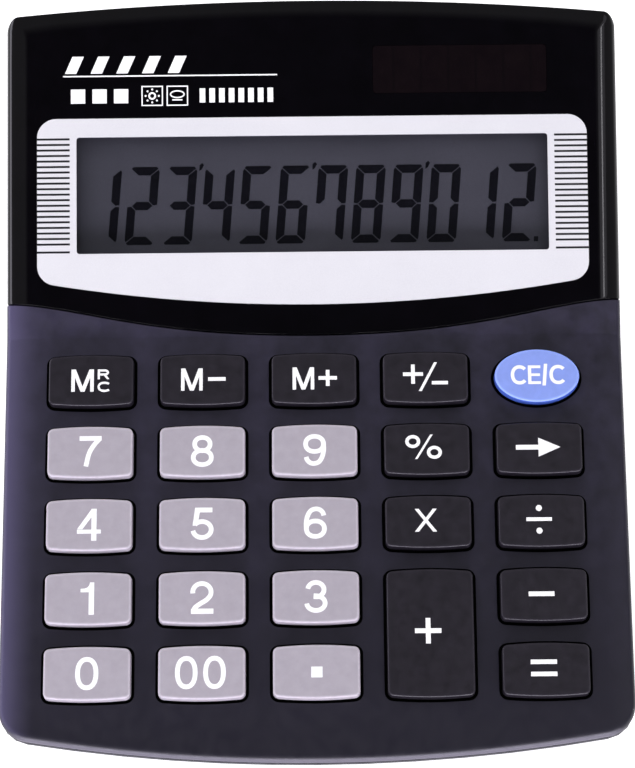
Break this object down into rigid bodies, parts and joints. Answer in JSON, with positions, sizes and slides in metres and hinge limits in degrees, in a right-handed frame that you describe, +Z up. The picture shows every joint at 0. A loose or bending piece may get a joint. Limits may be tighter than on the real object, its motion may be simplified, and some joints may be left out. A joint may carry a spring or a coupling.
{
  "type": "desk calculator",
  "caption": "Wedge-shaped desk calculator: sloping key deck with separate press keys, raised glossy display head with a numeric LCD and a solar cell, screwed two-part case on rubber feet.",
  "frame": {"origin": "on the desk, under the middle of the case", "axes": "+Z up, +Y towards the display and the back of the case, +X to the right of someone using the keys"},
  "size_m": [0.102, 0.1242, 0.035],
  "materials": {
    "housing_plastic": "fine matte texture",
    "cover_plastic": "high gloss",
    "lens_plastic": "clear panel with a silver print behind it",
    "window_plastic": "dark clear window",
    "light_key": "satin",
    "dark_key": "satin gloss",
    "blue_key": "satin",
    "lcd_glass": "reflective display glass",
    "white_plastic": "moulded",
    "ribbon_film": "printed film",
    "solar_glass": "dark cell behind glass",
    "board_laminate": "paper laminate",
    "epoxy": "potting resin",
    "capacitor_sleeve": "shrink sleeve",
    "silicone": "translucent silicone rubber",
    "foot_rubber": "soft rubber",
    "screw_steel": "zinc plated",
    "cell_steel": "polished steel can",
    "contact_steel": "plated spring steel",
    "wire_red": "insulated wire",
    "wire_black": "insulated wire"
  },
  "bodies": {
    "case": {"front_housing": "housing_plastic", "back_cover": "housing_plastic", "display_cover": "cover_plastic", "display_lens": "lens_plastic", "solar_window": "window_plastic", "lcd_panel": "lcd_glass", "lcd_holder": "white_plastic", "lcd_ribbon": "ribbon_film", "solar_cell": "solar_glass", "main_board": "board_laminate", "chip_cover": "epoxy", "capacitor": "capacitor_sleeve", "key_mat": "silicone", "battery_cell": "cell_steel", "battery_contact_negative": "contact_steel", "battery_contact_positive": "contact_steel", "battery_wire_negative": "wire_black", "battery_wire_positive": "wire_red", "solar_wire_positive": "wire_red", "solar_wire_negative": "wire_black", "foot_1": "foot_rubber", "case_screw_1": "screw_steel", "board_screw_1": "screw_steel", "foot_2": "foot_rubber", "case_screw_2": "screw_steel", "board_screw_2": "screw_steel", "foot_3": "foot_rubber", "case_screw_3": "screw_steel", "board_screw_3": "screw_steel", "foot_4": "foot_rubber", "case_screw_4": "screw_steel", "board_screw_4": "screw_steel"},
    "battery_door": {"battery_cover": "housing_plastic"},
    "key_mrc": {"key_mrc": "dark_key"},
    "key_m_minus": {"key_m_minus": "dark_key"},
    "key_m_plus": {"key_m_plus": "dark_key"},
    "key_sign": {"key_sign": "dark_key"},
    "key_clear": {"key_clear": "blue_key"},
    "key_7": {"key_7": "light_key"},
    "key_8": {"key_8": "light_key"},
    "key_9": {"key_9": "light_key"},
    "key_percent": {"key_percent": "dark_key"},
    "key_backspace": {"key_backspace": "dark_key"},
    "key_4": {"key_4": "light_key"},
    "key_5": {"key_5": "light_key"},
    "key_6": {"key_6": "light_key"},
    "key_multiply": {"key_multiply": "dark_key"},
    "key_divide": {"key_divide": "dark_key"},
    "key_1": {"key_1": "light_key"},
    "key_2": {"key_2": "light_key"},
    "key_3": {"key_3": "light_key"},
    "key_plus": {"key_plus": "dark_key"},
    "key_minus": {"key_minus": "dark_key"},
    "key_0": {"key_0": "light_key"},
    "key_00": {"key_00": "light_key"},
    "key_point": {"key_point": "light_key"},
    "key_equals": {"key_equals": "dark_key"}
  },
  "joints": [
    {"name": "battery_door_turn", "type": "hinge", "parent": "case", "child": "battery_door", "pos_m": [0.024, 0.034, 0.0024], "axis": [0, 0, -1], "range_deg": [0, 50]},
    {"name": "key_mrc_press", "type": "slide", "parent": "case", "child": "key_mrc", "axis": [0, 0.1132, -0.9936], "range_m": [0, 0.0012], "stiffness_N_per_m": 350, "deforming": ["key_mat"]},
    {"name": "key_m_minus_press", "type": "slide", "parent": "case", "child": "key_m_minus", "axis": [0, 0.1132, -0.9936], "range_m": [0, 0.0012], "stiffness_N_per_m": 350, "deforming": ["key_mat"]},
    {"name": "key_m_plus_press", "type": "slide", "parent": "case", "child": "key_m_plus", "axis": [0, 0.1132, -0.9936], "range_m": [0, 0.0012], "stiffness_N_per_m": 350, "deforming": ["key_mat"]},
    {"name": "key_sign_press", "type": "slide", "parent": "case", "child": "key_sign", "axis": [0, 0.1132, -0.9936], "range_m": [0, 0.0012], "stiffness_N_per_m": 350, "deforming": ["key_mat"]},
    {"name": "key_clear_press", "type": "slide", "parent": "case", "child": "key_clear", "axis": [0, 0.1132, -0.9936], "range_m": [0, 0.0012], "stiffness_N_per_m": 350, "deforming": ["key_mat"]},
    {"name": "key_7_press", "type": "slide", "parent": "case", "child": "key_7", "axis": [0, 0.1132, -0.9936], "range_m": [0, 0.0012], "stiffness_N_per_m": 350, "deforming": ["key_mat"]},
    {"name": "key_8_press", "type": "slide", "parent": "case", "child": "key_8", "axis": [0, 0.1132, -0.9936], "range_m": [0, 0.0012], "stiffness_N_per_m": 350, "deforming": ["key_mat"]},
    {"name": "key_9_press", "type": "slide", "parent": "case", "child": "key_9", "axis": [0, 0.1132, -0.9936], "range_m": [0, 0.0012], "stiffness_N_per_m": 350, "deforming": ["key_mat"]},
    {"name": "key_percent_press", "type": "slide", "parent": "case", "child": "key_percent", "axis": [0, 0.1132, -0.9936], "range_m": [0, 0.0012], "stiffness_N_per_m": 350, "deforming": ["key_mat"]},
    {"name": "key_backspace_press", "type": "slide", "parent": "case", "child": "key_backspace", "axis": [0, 0.1132, -0.9936], "range_m": [0, 0.0012], "stiffness_N_per_m": 350, "deforming": ["key_mat"]},
    {"name": "key_4_press", "type": "slide", "parent": "case", "child": "key_4", "axis": [0, 0.1132, -0.9936], "range_m": [0, 0.0012], "stiffness_N_per_m": 350, "deforming": ["key_mat"]},
    {"name": "key_5_press", "type": "slide", "parent": "case", "child": "key_5", "axis": [0, 0.1132, -0.9936], "range_m": [0, 0.0012], "stiffness_N_per_m": 350, "deforming": ["key_mat"]},
    {"name": "key_6_press", "type": "slide", "parent": "case", "child": "key_6", "axis": [0, 0.1132, -0.9936], "range_m": [0, 0.0012], "stiffness_N_per_m": 350, "deforming": ["key_mat"]},
    {"name": "key_multiply_press", "type": "slide", "parent": "case", "child": "key_multiply", "axis": [0, 0.1132, -0.9936], "range_m": [0, 0.0012], "stiffness_N_per_m": 350, "deforming": ["key_mat"]},
    {"name": "key_divide_press", "type": "slide", "parent": "case", "child": "key_divide", "axis": [0, 0.1132, -0.9936], "range_m": [0, 0.0012], "stiffness_N_per_m": 350, "deforming": ["key_mat"]},
    {"name": "key_1_press", "type": "slide", "parent": "case", "child": "key_1", "axis": [0, 0.1132, -0.9936], "range_m": [0, 0.0012], "stiffness_N_per_m": 350, "deforming": ["key_mat"]},
    {"name": "key_2_press", "type": "slide", "parent": "case", "child": "key_2", "axis": [0, 0.1132, -0.9936], "range_m": [0, 0.0012], "stiffness_N_per_m": 350, "deforming": ["key_mat"]},
    {"name": "key_3_press", "type": "slide", "parent": "case", "child": "key_3", "axis": [0, 0.1132, -0.9936], "range_m": [0, 0.0012], "stiffness_N_per_m": 350, "deforming": ["key_mat"]},
    {"name": "key_plus_press", "type": "slide", "parent": "case", "child": "key_plus", "axis": [0, 0.1132, -0.9936], "range_m": [0, 0.0012], "stiffness_N_per_m": 350, "deforming": ["key_mat"]},
    {"name": "key_minus_press", "type": "slide", "parent": "case", "child": "key_minus", "axis": [0, 0.1132, -0.9936], "range_m": [0, 0.0012], "stiffness_N_per_m": 350, "deforming": ["key_mat"]},
    {"name": "key_0_press", "type": "slide", "parent": "case", "child": "key_0", "axis": [0, 0.1132, -0.9936], "range_m": [0, 0.0012], "stiffness_N_per_m": 350, "deforming": ["key_mat"]},
    {"name": "key_00_press", "type": "slide", "parent": "case", "child": "key_00", "axis": [0, 0.1132, -0.9936], "range_m": [0, 0.0012], "stiffness_N_per_m": 350, "deforming": ["key_mat"]},
    {"name": "key_point_press", "type": "slide", "parent": "case", "child": "key_point", "axis": [0, 0.1132, -0.9936], "range_m": [0, 0.0012], "stiffness_N_per_m": 350, "deforming": ["key_mat"]},
    {"name": "key_equals_press", "type": "slide", "parent": "case", "child": "key_equals", "axis": [0, 0.1132, -0.9936], "range_m": [0, 0.0012], "stiffness_N_per_m": 350, "deforming": ["key_mat"]}
  ]
}
